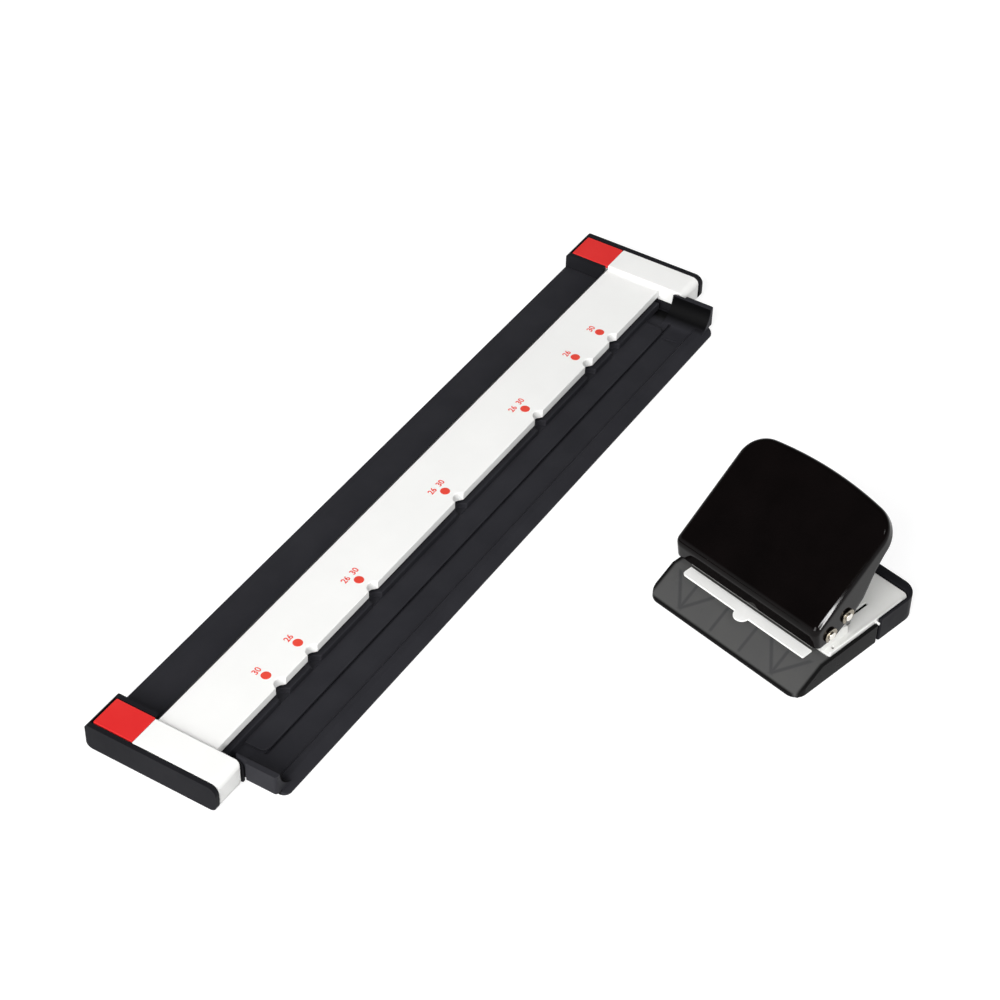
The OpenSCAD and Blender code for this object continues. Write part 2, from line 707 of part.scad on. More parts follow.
module die_plate() {
    color("#f4f4f2") at_punch() difference() {
        slab(die_z, die_top) union() {
            plan(-stack_x, stack_x, die_front, stack_rear, [1.5, 0.4, 0.4, 0.4]);
            translate([0, die_front]) circle(tab_r);
        }
        pin_places() hole(die_r, die_z, die_t);
        rivet_places() hole(rivet_r + run_fit, die_z, die_t);
    }
}
module paper_stop() {
    color("#8a8a8a") at_punch() difference() {
        box([-stack_x, stop_y, die_top], [stack_x, stack_rear, guide_z]);
        rivet_places() hole(rivet_r + run_fit, die_top, throat_h);
    }
}
module pin_guide() {
    color("#b4b4b2") at_punch() difference() {
        union() {
            box([-stack_x, guide_front, guide_z], [stack_x, stack_rear, guide_top]);
            along_y(guide_front, guide_front + hump_t)
                plan(-hump_w / 2, hump_w / 2, guide_z, guide_top + hump_h, [0, 0, hump_r, hump_r]);
        }
        pin_places() hole(die_r, guide_z, guide_t);
        rivet_places() hole(rivet_r + run_fit, guide_z, guide_t);
    }
}
module stack_rivets() {
    color("silver") at_punch() rivet_places() {
        translate([0, 0, frame_z]) cylinder(r = rivet_r, h = guide_top - frame_z);
        translate([0, 0, guide_top]) cylinder(r = rivet_r + 0.9, h = 0.7);
    }
}
module pin_holder() {
    color("#6a6a6c") at_punch() difference() {
        box([-stack_x, pin_row - holder_half, holder_z], [stack_x, pin_row + holder_half, holder_top]);
        pin_places() hole(neck_r + run_fit, holder_z, holder_t);
    }
}
// One punch pin: a ground rod with a hollow cutting end, and a neck held in the holder bar
module punch_pin(i) {
    hollow = 0.8;
    hollow_r = 6;
    color("#c4c6c8") at_punch() translate([pin_x[i], pin_row, 0]) {
        difference() {
            translate([0, 0, pin_tip]) cylinder(r = pin_r, h = holder_z - pin_tip);
            translate([0, 0, pin_tip + hollow - hollow_r]) rotate([90, 0, 0])
                cylinder(r = hollow_r, h = 4 * pin_r, center = true);
        }
        translate([0, 0, holder_z - cut]) cylinder(r = neck_r, h = holder_t + cut);
    }
}
module return_springs() {
    spring_mid = pin_r + 0.6;
    spring_wire = 0.22;
    color("silver") at_punch() pin_places()
        spring(spring_mid, spring_wire, guide_top, holder_z - seat_fit, 4);
}
module lever_pin(y, z) {
    rod_x(groove_r, -lever_pin_x, lever_pin_x, y, z);
    rod_x(lever_pin_r, -clip_x, clip_x, y, z);
    both_sides() rod_x(lever_pin_r, clip_x + clip_t, lever_pin_x, y, z);
}
module clip_pair(y, z) {
    both_sides() translate([clip_x, y, z]) rotate([0, 90, 0]) rotate([0, 0, 40]) rotate_extrude(angle = 290)
        translate([groove_r + run_fit, 0.05]) square([clip_r - groove_r, clip_t - 0.1]);
}
module pivot_pin() {
    color("#d8d8d8") at_punch() lever_pin(pivot_y, pivot_h);
}
module drive_pin() {
    color("#d8d8d8") at_punch() lever_pin(drive_y, drive_h);
}
module pivot_clips() {
    color("#d8d8d8") at_punch() clip_pair(pivot_y, pivot_h);
}
module drive_clips() {
    color("#d8d8d8") at_punch() clip_pair(drive_y, drive_h);
}
// Plan of the lever drawn in by d, with its two rear corners and the bowed rear edge
module lever_plan(d) {
    translate([d - half_lever, -lever_skirt]) square([2 * (half_lever - d), lever_skirt + corner_s]);
    for (side = [-1, 1]) translate([side * corner_x, corner_s]) circle(lever_corner_r - d);
    intersection() {
        translate([0, lever_len - lever_bow_r]) circle(lever_bow_r - d, $fn = 400);
        translate([-corner_x, 0]) square([2 * corner_x, lever_len]);
    }
}
// Solid inside the lever's outer face, drawn in by d, down to the side outline given
module lever_solid(d, outline) {
    intersection() {
        along_x(-half_lever, half_lever) polygon(outline);
        slab(-2 * lever_skirt, 0) lever_plan(d);
        along_y(-lever_skirt, lever_len) plan(d - half_lever, half_lever - d, -2 * lever_skirt, -d,
            [0, 0, lever_edge_r - d, lever_edge_r - d]);
    }
}
module lever() {
    rear_down = [[lever_len - lever_t, -2 * lever_skirt]];
    lip_down = [lip_dir * 2 * lever_skirt + [lever_t, 0]];
    flange = [for (i = [len(flange_edge) - 1 : -1 : 0]) flange_edge[i]];
    color("#0c0b0b") at_punch() difference() {
        translate([0, fold_y, fold_h]) rotate([lever_slope, 0, 0]) difference() {
            lever_solid(0, concat(lever_side(0), flange, [lip_end]));
            lever_solid(lever_t, concat(lever_side(lever_t), rear_down, lip_down));
        }
        rod_x(lever_pin_r + run_fit, -half_base, half_base, pivot_y, pivot_h);
        rod_x(lever_pin_r + run_fit, -half_base, half_base, drive_y, drive_h);
    }
}

paper_table();
base_tray();
guide_shelf();
end_housing_near();
end_housing_far();
clamp_bar();
grip_strips();
press_pad_near();
press_pad_far();
hinge_pins();
clamp_springs();
gauge_feet();
gauge_screws();
chip_tray();
tray_feet();
rear_base();
rear_feet();
frame_plate();
frame_screws();
die_plate();
paper_stop();
pin_guide();
stack_rivets();
pin_holder();
for (i = [1 : holes_per_stroke]) punch_pin(i - 1);
return_springs();
pivot_pin();
drive_pin();
pivot_clips();
drive_clips();
lever();
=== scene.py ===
"""Looks of a paper punch set: a long gauge with a sprung clamp bar, and a six-pin lever punch beside it."""
import json
import math

import bmesh
import bpy
import numpy as np
from mathutils import Matrix

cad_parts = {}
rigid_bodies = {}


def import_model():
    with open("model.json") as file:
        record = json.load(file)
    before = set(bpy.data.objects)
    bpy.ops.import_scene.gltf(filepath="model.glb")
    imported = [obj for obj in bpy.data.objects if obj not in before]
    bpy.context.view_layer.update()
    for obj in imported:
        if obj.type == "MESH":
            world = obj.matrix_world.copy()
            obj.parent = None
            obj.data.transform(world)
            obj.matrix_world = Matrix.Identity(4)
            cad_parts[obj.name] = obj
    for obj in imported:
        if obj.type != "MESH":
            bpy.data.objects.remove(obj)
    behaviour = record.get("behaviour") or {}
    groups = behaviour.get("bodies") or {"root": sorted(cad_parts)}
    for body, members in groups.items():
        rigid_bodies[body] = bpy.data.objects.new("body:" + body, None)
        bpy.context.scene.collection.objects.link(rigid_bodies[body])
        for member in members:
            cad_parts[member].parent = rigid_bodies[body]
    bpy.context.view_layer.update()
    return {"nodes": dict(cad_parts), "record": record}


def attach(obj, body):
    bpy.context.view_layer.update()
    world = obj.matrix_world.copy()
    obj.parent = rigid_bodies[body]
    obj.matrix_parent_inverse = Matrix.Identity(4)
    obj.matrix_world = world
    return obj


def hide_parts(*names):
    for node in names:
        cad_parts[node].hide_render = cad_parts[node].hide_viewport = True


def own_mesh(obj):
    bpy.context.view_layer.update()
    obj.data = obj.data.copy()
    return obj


for leftover in list(bpy.data.objects):
    bpy.data.objects.remove(leftover)
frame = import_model()
nodes = frame["nodes"]
scene = bpy.context.scene
MM = 0.001

# Where the punch stands: its nose on the desk, and the directions to its right and to its rear
PUNCH_NOSE = np.array([-7.7, -123.1, 0.0])
PUNCH_TURN = math.radians(-104)
PUNCH_RIGHT = np.array([math.cos(PUNCH_TURN), math.sin(PUNCH_TURN), 0.0])
PUNCH_REAR = np.array([-math.sin(PUNCH_TURN), math.cos(PUNCH_TURN), 0.0])

# Seven index stations along the gauge, with the number of holes that each one serves
STATIONS = [(-114, "30"), (-95, "26"), (-57, "26  30"), (0, "26  30"),
            (57, "26  30"), (95, "26"), (114, "30")]


# Shapes

def in_row(x, y, z):
    """Punch millimetres (x right, y rear, z up) to row-frame metres: nose + x * right + y * rear + z * up."""
    x, y, z = np.broadcast_arrays(x, y, z)
    up = np.array([0.0, 0.0, 1.0])
    return MM * (PUNCH_NOSE + x[..., None] * PUNCH_RIGHT + y[..., None] * PUNCH_REAR + z[..., None] * up)


def smoothstep(low, high, value):
    """Cubic that climbs from 0 at low to 1 at high, level at both ends."""
    t = np.clip((value - low) / (high - low), 0, 1)
    return t * t * (3 - 2 * t)


def grid_faces(rows, cols, loop_rows=False, loop_cols=False, start=0):
    """Quads of a rows x cols grid of points, joined round to the first row or column where it loops."""
    i = np.arange(rows if loop_rows else rows - 1)[:, None]
    j = np.arange(cols if loop_cols else cols - 1)[None, :]
    ni, nj = (i + 1) % rows, (j + 1) % cols
    quads = np.stack(np.broadcast_arrays(i * cols + j, i * cols + nj, ni * cols + nj, ni * cols + j), -1)
    return start + quads.reshape(-1, 4)


def add_piece(name, points, faces, sharp_angle=40):
    """One object at the origin from points and faces, with doubles merged and faces turned outwards."""
    mesh = bpy.data.meshes.new(name)
    mesh.from_pydata(points.reshape(-1, 3).tolist(), [], faces.tolist())
    work = bmesh.new()
    work.from_mesh(mesh)
    bmesh.ops.remove_doubles(work, verts=work.verts, dist=1e-6)
    bmesh.ops.recalc_face_normals(work, faces=work.faces)
    work.to_mesh(mesh)
    work.free()
    piece = bpy.data.objects.new(name, mesh)
    scene.collection.objects.link(piece)
    soften(mesh, sharp_angle)
    return piece


def soften(mesh, sharp_angle):
    """Smooth shading that breaks where two faces meet at more than sharp_angle degrees."""
    mesh.polygons.foreach_set("use_smooth", np.ones(len(mesh.polygons), bool))
    mesh.set_sharp_from_angle(angle=math.radians(sharp_angle))


# Lever: a drawn pan of sheet steel, in mm. In its own frame s runs up the slope and n stands off the panel
# Slope of the panel, and where its front edge lies behind the nose and above the desk
LEVER_SLOPE = math.radians(36.5)
LEVER_FOLD = (9.5, 25.0)
# Half width, length up the slope and thickness of the sheet
LEVER_HALF = 33.6
LEVER_LENGTH = 52.0
LEVER_SHEET = 1.2
# Radii of the plan's rear corners, bowed rear edge and front corners, and of the fold all round it
REAR_CORNER_R = 11.0
REAR_BOW_R = 150.0
FRONT_CORNER_R = 2.7
FOLD_R = 2.5
# Front lip: its drop, how far it leans forward for each mm of that, and where along s the lean fades
LIP_DROP = 7.67
LIP_LEAN = 3.93 / LIP_DROP
LIP_FADE = (3, 13)
# Stretch of the middle line that the panel's faces spread from, along s
SPINE_S = (12, 38)
# Lower edge of the side flanges: points along s, and their depth n
FLANGE_S = [-8.0, -3.6, -2.5, 4.6, 15.6, 21.3, 31.2, 37.2, 52.0, 61.0]
FLANGE_N = [-7.67, -7.67, -10.1, -14.2, -15.5, -14.5, -9.3, -7.5, -5.0, -5.0]


def lever_outline():
    """Right half of the lever's plan: front edge, front corner arc, straight side, rear corner arc and the
    bowed rear edge. Gives points (x, s) and their outward normals."""
    corner_x = LEVER_HALF - REAR_CORNER_R
    bow_s = LEVER_LENGTH - REAR_BOW_R
    corner_s = bow_s + math.sqrt((REAR_BOW_R - REAR_CORNER_R) ** 2 - corner_x ** 2)
    meet = math.atan2(corner_s - bow_s, corner_x)

    def arc(cx, cs, r, a0, a1, count):
        a = np.linspace(a0, a1, count)
        n = np.stack([np.cos(a), np.sin(a)], -1)
        return np.array([cx, cs]) + r * n, n

    def line(p, q, normal, count):
        t = np.linspace(0, 1, count)[:, None]
        return np.array(p) * (1 - t) + np.array(q) * t, np.tile(np.array(normal, float), (count, 1))

    parts = [
        line([0, 0], [LEVER_HALF - FRONT_CORNER_R, 0], [0, -1], 26),
        arc(LEVER_HALF - FRONT_CORNER_R, FRONT_CORNER_R, FRONT_CORNER_R, -math.pi / 2, 0, 14),
        line([LEVER_HALF, FRONT_CORNER_R], [LEVER_HALF, corner_s], [1, 0], 72),
        arc(corner_x, corner_s, REAR_CORNER_R, 0, meet, 26),
        arc(0, bow_s, REAR_BOW_R, meet, math.pi / 2, 24)]
    points = np.concatenate([parts[0][0]] + [p[0][1:] for p in parts[1:]])
    normals = np.concatenate([parts[0][1]] + [p[1][1:] for p in parts[1:]])
    return points, normals


def lever_flange(s_plan, lean):
    """Depth of the wall's lower edge at each point of the plan. The edge is a polyline over the slope,
    rounded by a running mean, and it is read where the wall ends up after its lean."""
    s = np.arange(-12, 60, 0.1)
    window = np.hanning(31)
    n = np.convolve(np.interp(s, FLANGE_S, FLANGE_N), window / window.sum(), "same")
    depth = np.full_like(s_plan, -LIP_DROP)
    for _ in range(30):
        depth = 0.5 * depth + 0.5 * np.interp(s_plan + lean * depth, s, n)
    return depth


def lever_shell():
    """Pan of sheet steel. Across the sheet the profile runs from a spine on the middle line out over the
    panel, round the fold, down the wall, round its lower edge and back inside at one sheet's thickness;
    along the plan this profile is carried round the whole outline. The front lip leans forward by a shear
    that fades with s."""
    right, right_n = lever_outline()
    mirror = np.array([-1.0, 1.0])
    plan = np.concatenate([right, right[-2:0:-1] * mirror])
    normal = np.concatenate([right_n, right_n[-2:0:-1] * mirror])
    s_plan = plan[:, 1]
    lean = LIP_LEAN * (1 - smoothstep(*LIP_FADE, s_plan))
    front = np.abs(normal[:, 1] + 1) < 1e-6
    depth = np.where(front, -LIP_DROP, lever_flange(s_plan, lean))
    fold_r = np.full_like(s_plan, FOLD_R)[:, None]
    low = depth[:, None]
    edge = LEVER_SHEET / 2
    spine = np.stack([np.zeros_like(s_plan), np.clip(s_plan, *SPINE_S)], -1)

    def turn(a0, a1, count):
        return np.radians(np.linspace(a0, a1, count))[None, :]

    fold, rim, inner = turn(0, 90, 12), turn(0, 180, 9), turn(90, 0, 9)
    fall = np.linspace(0, 1, 9)[1:-1][None, :]
    inset = np.concatenate([
        fold_r * (1 - np.sin(fold)),
        0 * low * fall,
        edge * (1 - np.cos(rim)) + 0 * low,
        LEVER_SHEET + 0 * low * fall,
        fold_r - (fold_r - LEVER_SHEET) * np.sin(inner)], 1)
    height = np.concatenate([
        -fold_r * (1 - np.cos(fold)),
        -fold_r + (low + edge + fold_r) * fall,
        low + edge * (1 - np.sin(rim)),
        low + edge - (low + edge + fold_r) * fall,
        -fold_r + (fold_r - LEVER_SHEET) * np.cos(inner)], 1)
    walls = plan[:, None, :] - inset[..., None] * normal[:, None, :]
    share = np.linspace(0, 1, 7)[:-1][None, :, None]
    top = spine[:, None, :] + share * (walls[:, :1] - spine[:, None, :])
    under = spine[:, None, :] + share[:, ::-1] * (walls[:, -1:] - spine[:, None, :])
    flat = np.concatenate([top, walls, under], 1)
    n = np.concatenate([np.zeros(top.shape[:2]), height, np.full(under.shape[:2], -LEVER_SHEET)], 1)
    s = flat[..., 1] + lean[:, None] * n
    y = LEVER_FOLD[0] + s * math.cos(LEVER_SLOPE) - n * math.sin(LEVER_SLOPE)
    z = LEVER_FOLD[1] + s * math.sin(LEVER_SLOPE) + n * math.cos(LEVER_SLOPE)
    points = in_row(flat[..., 0], y, z)
    return add_piece("lever_pan", points, grid_faces(*points.shape[:2], loop_rows=True))


# Springs
def spring_wire(radius, wire, z0, z1, turns, coils_dead=0.8):
    """Round wire along a helix whose first and last coils lie flat: the height climbs with a smoothed ramp of
    the angle, and a circle square to the path is carried along it and drawn to a point at both ends."""
    sides, per_turn = 12, 40
    t = np.linspace(0, 1, turns * per_turn + 1)
    angle = 2 * np.pi * turns * t
    climb = np.clip((t - coils_dead / turns) / (1 - 2 * coils_dead / turns), 0, 1)
    lie = np.minimum(t, 1 - t) * turns / coils_dead
    rise = 1.9 * wire
    dead = rise * np.clip(lie, 0, 1)
    height = z0 + wire + np.where(t < 0.5, dead, 0) + np.where(t >= 0.5, -dead, 0)
    span = z1 - z0 - 2 * wire
    mid = z0 + wire + rise + (span - 2 * rise) * climb
    height = np.where(lie < 1, height + np.where(t >= 0.5, span, 0), mid)
    path = np.stack([radius * np.cos(angle), radius * np.sin(angle), height], -1)
    along = np.gradient(path, axis=0)
    along /= np.linalg.norm(along, axis=1, keepdims=True)
    out = np.stack([np.cos(angle), np.sin(angle), 0 * angle], -1)
    out -= (out * along).sum(1, keepdims=True) * along
    out /= np.linalg.norm(out, axis=1, keepdims=True)
    side = np.cross(along, out)
    a = np.linspace(0, 2 * np.pi, sides, endpoint=False)
    ring = np.cos(a)[None, :, None] * out[:, None, :] + np.sin(a)[None, :, None] * side[:, None, :]
    tube = path[:, None, :] + wire * ring
    ends = [np.repeat(path[k][None, None, :], sides, 1) for k in (0, -1)]
    return np.concatenate([ends[0], tube, ends[1]], 0)


def spring_set(name, coil, places):
    """The same coil at each place, as one piece. Points and places in row-frame metres."""
    tubes = coil[None] + np.asarray(places)[:, None, None, :]
    rows, cols = coil.shape[:2]
    faces = [grid_faces(rows, cols, loop_cols=True, start=k * rows * cols) for k in range(len(places))]
    return add_piece(name, tubes, np.concatenate(faces))


# Printed marks
def disc_points(radius, thick):
    """Thin round patch with a softened rim: a profile of radius and height spun round the axis."""
    r = radius * np.array([0, 0.5, 0.96, 1, 1, 0.5, 0])
    z = thick * np.array([1, 1, 1, 0.6, 0, 0, 0])
    a = np.linspace(0, 2 * np.pi, 48, endpoint=False)
    return np.stack([r[:, None] * np.cos(a), r[:, None] * np.sin(a), np.repeat(z[:, None], 48, 1)], -1)


def index_dots(radius, y, z, thick):
    """One dot at each station, all in one piece."""
    patch = disc_points(radius, thick)
    centres = np.array([[x, y, z] for x, _ in STATIONS], float)
    points = MM * (patch[None] + centres[:, None, None, :])
    rows, cols = patch.shape[:2]
    faces = [grid_faces(rows, cols, loop_cols=True, start=k * rows * cols) for k in range(len(STATIONS))]
    return add_piece("index_dots", points, np.concatenate(faces))


def index_number(name, words, x, y, z, cap, thick):
    """Plain numbers, made a mesh, then scaled to the cap height and moved to their place on the bar."""
    letters = bpy.data.curves.new(name, "FONT")
    letters.body = words
    letters.extrude = 0.01
    letters.offset = 0.022
    holder = bpy.data.objects.new(name + "_curve", letters)
    mesh = bpy.data.meshes.new_from_object(holder)
    bpy.data.objects.remove(holder)
    co = np.empty(len(mesh.vertices) * 3, np.float32)
    mesh.vertices.foreach_get("co", co)
    co = co.reshape(-1, 3)
    low, high = co.min(0), co.max(0)
    scale = cap / (high[1] - low[1])
    middle = (low + high) / 2
    co[:, :2] = (co[:, :2] - middle[:2]) * scale + np.array([x, y])
    co[:, 2] = z + thick * (co[:, 2] - low[2]) / (high[2] - low[2])
    mesh.vertices.foreach_set("co", (MM * co).ravel())
    mesh.update()
    piece = bpy.data.objects.new(name, mesh)
    scene.collection.objects.link(piece)
    return piece


# Materials: every pattern reads Object coordinates, in metres

# Hollow scoops at the tray's ends: where they start and end along X, their front and their top, in mm
SCOOP_X, SCOOP_FRONT, SCOOP_TOP = (139.9, 150.7), -32.7, 11.1
# Painted shade inside them: how far past the start it begins and is full, and how fast it ends at the other
# sides
SCOOP_RISE, SCOOP_END, SCOOP_EDGE = (2.5, 6), 0.3, 0.4
# Pin guide: how far its front lies behind the nose, and the top of its plate, under the hump, in mm.
# The die plate's painted shade starts at that front, and the hump's painted light above that top
GUIDE_FRONT, GUIDE_TOP = 15.0, 12.75
# Smoky chip tray: share of light that the ramp stops, and how fast the plastic swallows the rest
RAMP_ALPHA = 0.86
TINT_DENSITY = 90
# Where the tray's dark side walls and nose start and are full, in mm from the middle line and from the nose
SIDE_WALL, NOSE_WALL = (34.2, 35.2), (1.2, 0.5)
# Ribs under the ramp, in mm, along which dark lines are painted as their shade seen through the tint: their
# run behind the nose, the fans' feet and half widths, the straight ones' feet, the half width of each painted
# line at full and at no strength, and how far it fades past the ends of the ribs
RIB_REACH = (2.2, 12.0)
RIB_FAN_X, RIB_FAN_HALF, RIB_MID_X = 22.1, 9.0, 6.9
RIB_LINE = (0.3, 0.9)
RIB_FADE = 0.8


def linear(red, green, blue):
    """Colour as seen on a screen, 0 to 255, to linear light."""
    c = np.array([red, green, blue]) / 255
    return tuple(np.where(c <= 0.04045, c / 12.92, ((c + 0.055) / 1.055) ** 2.4)) + (1.0,)


class Finish:
    """One material on the principled shader, with helpers that add its pattern nodes."""

    def __init__(self, name, roughness, **sockets):
        self.material = bpy.data.materials.new(name)
        self.material.use_nodes = True
        self.tree = self.material.node_tree
        self.shader = self.tree.nodes["Principled BSDF"]
        self.shader.inputs["Roughness"].default_value = roughness
        for socket, value in sockets.items():
            self.shader.inputs[socket.replace("_", " ")].default_value = value
        self.coord = self.tree.nodes.new("ShaderNodeTexCoord").outputs["Object"]
        self.relief = None

    def node(self, kind, **inputs):
        """A node of that kind, with each named input set to a value or linked to an output."""
        made = self.tree.nodes.new(kind)
        for socket, value in inputs.items():
            target = made.inputs[socket.replace("_", " ")]
            if isinstance(value, bpy.types.NodeSocket):
                self.tree.links.new(value, target)
            else:
                target.default_value = value
        return made

    def noise(self, size, detail=2.0, stretch=None, turn=0.0):
        """Noise with lumps about size metres across, drawn out along an axis where stretch is given."""
        vector = self.coord
        if stretch is not None:
            drawn = self.node("ShaderNodeMapping", Vector=vector, Rotation=(0, 0, turn), Scale=stretch)
            vector = drawn.outputs[0]
        return self.node("ShaderNodeTexNoise", Vector=vector, Scale=1 / size, Detail=detail).outputs["Fac"]

    def level(self, fac, low, high, start=0.3, end=0.7):
        """A value that goes from low to high as fac goes from start to end, and stays there beyond."""
        return self.node("ShaderNodeMapRange", Value=fac, From_Min=start, From_Max=end, To_Min=low,
                         To_Max=high).outputs["Result"]

    def colour(self, fac, dark, light):
        """Base colour that wanders between two shades."""
        mix = self.tree.nodes.new("ShaderNodeMix")
        mix.data_type = "RGBA"
        colours = [s for s in mix.inputs if s.type == "RGBA"]
        self.tree.links.new(self.level(fac, 0, 1), mix.inputs[0])
        colours[0].default_value, colours[1].default_value = linear(*dark), linear(*light)
        out = next(s for s in mix.outputs if s.type == "RGBA")
        self.tree.links.new(out, self.shader.inputs["Base Color"])

    def over(self, mask, tone):
        """Lays one shade over the colour made before, as far as the mask goes."""
        mix = self.tree.nodes.new("ShaderNodeMix")
        mix.data_type = "RGBA"
        colours = [s for s in mix.inputs if s.type == "RGBA"]
        base = self.shader.inputs["Base Color"]
        self.tree.links.new(mask, mix.inputs[0])
        self.tree.links.new(base.links[0].from_socket, colours[0])
        colours[1].default_value = linear(*tone)
        self.tree.links.new(next(s for s in mix.outputs if s.type == "RGBA"), base)

    def dot(self, vector, direction):
        """Length of a vector along a fixed direction."""
        made = self.node("ShaderNodeVectorMath", Vector=vector)
        made.operation = "DOT_PRODUCT"
        made.inputs[1].default_value = direction
        return made.outputs["Value"]

    def from_nose(self):
        """Vector from the foot of the punch's nose."""
        made = self.node("ShaderNodeVectorMath", Vector=self.coord)
        made.operation = "SUBTRACT"
        made.inputs[1].default_value = MM * PUNCH_NOSE
        return made.outputs["Vector"]

    def math(self, operation, first, second=None):
        """One sum of two values, or of one."""
        made = self.node("ShaderNodeMath", Value=first)
        made.operation = operation
        if isinstance(second, bpy.types.NodeSocket):
            self.tree.links.new(second, made.inputs[1])
        elif second is not None:
            made.inputs[1].default_value = second
        return made.outputs[0]

    def rough(self, fac, low, high):
        """Roughness that wanders between two values."""
        self.tree.links.new(self.level(fac, low, high), self.shader.inputs["Roughness"])

    def bump(self, fac, depth, strength=1.0):
        """Relief of the given depth in metres, laid over any relief made before."""
        made = self.node("ShaderNodeBump", Height=fac, Distance=depth, Strength=strength)
        if self.relief is not None:
            self.tree.links.new(self.relief, made.inputs["Normal"])
        self.relief = made.outputs["Normal"]
        self.tree.links.new(self.relief, self.shader.inputs["Normal"])


def moulding(name, dark, light, rough, grain, depth, scoop_shade=None, **sockets):
    """Moulded plastic: shades wander slowly over it, gloss varies by the centimetre, and a fine spark-worn
    grain covers it with faint flow marks beneath. Where scoop_shade is given, that colour is laid into the
    scoops at the tray's two ends as a painted shade."""
    f = Finish(name, rough[0], **sockets)
    f.colour(f.noise(0.018, 4.0), dark, light)
    if scoop_shade:
        x, y, z = f.node("ShaderNodeSeparateXYZ", Vector=f.coord).outputs
        # Mask of the painted shade in the scoops: across x, then cut off at their front and their top
        x = f.math("ABSOLUTE", x)
        first, full = (SCOOP_X[0] + rise for rise in SCOOP_RISE)
        inside = f.math("MULTIPLY", f.level(x, 0, 1, MM * first, MM * full),
                        f.level(x, 1, 0, MM * (SCOOP_X[1] - SCOOP_END), MM * SCOOP_X[1]))
        inside = f.math("MULTIPLY", inside,
                        f.level(y, 0, 1, MM * SCOOP_FRONT, MM * (SCOOP_FRONT + SCOOP_EDGE)))
        inside = f.math("MULTIPLY", inside,
                        f.level(z, 1, 0, MM * (SCOOP_TOP - SCOOP_EDGE), MM * SCOOP_TOP))
        f.over(inside, scoop_shade)
    f.rough(f.noise(0.006, 3.0), *rough)
    f.bump(f.noise(0.03, 1.0), depth * 2, 0.4)
    f.bump(f.noise(grain, 2.0), depth)
    return f.material


def rib_lines():
    """Plan of the ribs under the ramp: a point on each and its unit normal, in mm right of the nose and
    behind it."""
    lines = []
    for side in (-1, 1):
        for foot, lean in ((RIB_FAN_X, -1), (RIB_FAN_X, 0), (RIB_FAN_X, 1), (RIB_MID_X, 0)):
            run = np.array([side * lean * RIB_FAN_HALF, RIB_REACH[1] - RIB_REACH[0]])
            normal = np.array([-run[1], run[0]]) / np.hypot(*run)
            lines.append((np.array([side * foot, RIB_REACH[0]]), normal))
    return lines


def smoky(name, dark, light, wall, rib_line_shade, rough, grain, depth):
    """Tinted clear plastic that swallows more light where it is thick. Some light passes through the thin
    ramp, darker lines are painted over the ribs moulded under it as a painted shade where they meet its skin,
    and the nose and side walls are darkest; both are told by the distances right of and behind the punch's
    nose."""
    f = Finish(name, rough[0], Specular_IOR_Level=0.03)
    apart = f.from_nose()
    behind = f.dot(apart, PUNCH_REAR)
    side = f.level(f.math("ABSOLUTE", f.dot(apart, PUNCH_RIGHT)), 0, 1, MM * SIDE_WALL[0], MM * SIDE_WALL[1])
    thick = f.math("MAXIMUM", side, f.level(behind, 1, 0, MM * NOSE_WALL[1], MM * NOSE_WALL[0]))
    near = None
    for point, normal in rib_lines():
        reach = f.math("SUBTRACT", f.dot(apart, normal[0] * PUNCH_RIGHT + normal[1] * PUNCH_REAR),
                       MM * float(point @ normal))
        reach = f.math("ABSOLUTE", reach)
        near = reach if near is None else f.math("MINIMUM", near, reach)
    # Painted shade: mask of a dark line along each of the ribs, faded out past their ends
    line = f.math("MULTIPLY", f.level(near, 1, 0, MM * RIB_LINE[0], MM * RIB_LINE[1]),
                  f.level(behind, 0, 1, MM * (RIB_REACH[0] - RIB_FADE), MM * RIB_REACH[0]))
    line = f.math("MULTIPLY", line, f.level(behind, 1, 0, MM * RIB_REACH[1], MM * (RIB_REACH[1] + RIB_FADE)))
    f.colour(f.noise(0.018, 4.0), dark, light)
    f.over(line, rib_line_shade)
    f.over(thick, wall)
    f.rough(f.noise(0.006, 3.0), *rough)
    f.bump(f.noise(grain, 2.0), depth)
    f.tree.links.new(f.level(thick, RAMP_ALPHA, 1, 0, 1), f.shader.inputs["Alpha"])
    tint = f.tree.nodes.new("ShaderNodeVolumeAbsorption")
    tint.inputs["Color"].default_value = (0.05, 0.05, 0.05, 1)
    tint.inputs["Density"].default_value = TINT_DENSITY
    f.tree.links.new(tint.outputs[0], f.tree.nodes["Material Output"].inputs["Volume"])
    return f.material


def painted(name, dark, light, rough, peel, depth, beyond=None, **sockets):
    """Paint on sheet steel: a slight orange peel, with gloss and shade that vary a little. Where beyond is
    given, another colour starts at that many mm from the punch's nose, along a direction; the callers use it
    for painted light and shade, the guide's lit hump and the die plate's shaded throat."""
    f = Finish(name, rough[0], **sockets)
    f.colour(f.noise(0.012, 3.0), dark, light)
    if beyond:
        direction, start, tone = beyond
        f.over(f.level(f.dot(f.from_nose(), direction), 0, 1, MM * start, MM * (start + 0.2)), tone)
    f.rough(f.noise(0.004, 3.0), *rough)
    f.bump(f.noise(peel, 1.0), depth)
    return f.material


def steel(name, dark, light, rough, stretch, turn, depth, metallic=1.0):
    """Bare or plated steel: fine lines drawn out along one direction carry shade, gloss and relief."""
    f = Finish(name, rough[0], Metallic=metallic)
    lines = f.noise(0.0006, 4.0, stretch, turn)
    f.colour(lines, dark, light)
    f.rough(f.noise(0.0025, 2.0), *rough)
    f.bump(lines, depth)
    return f.material


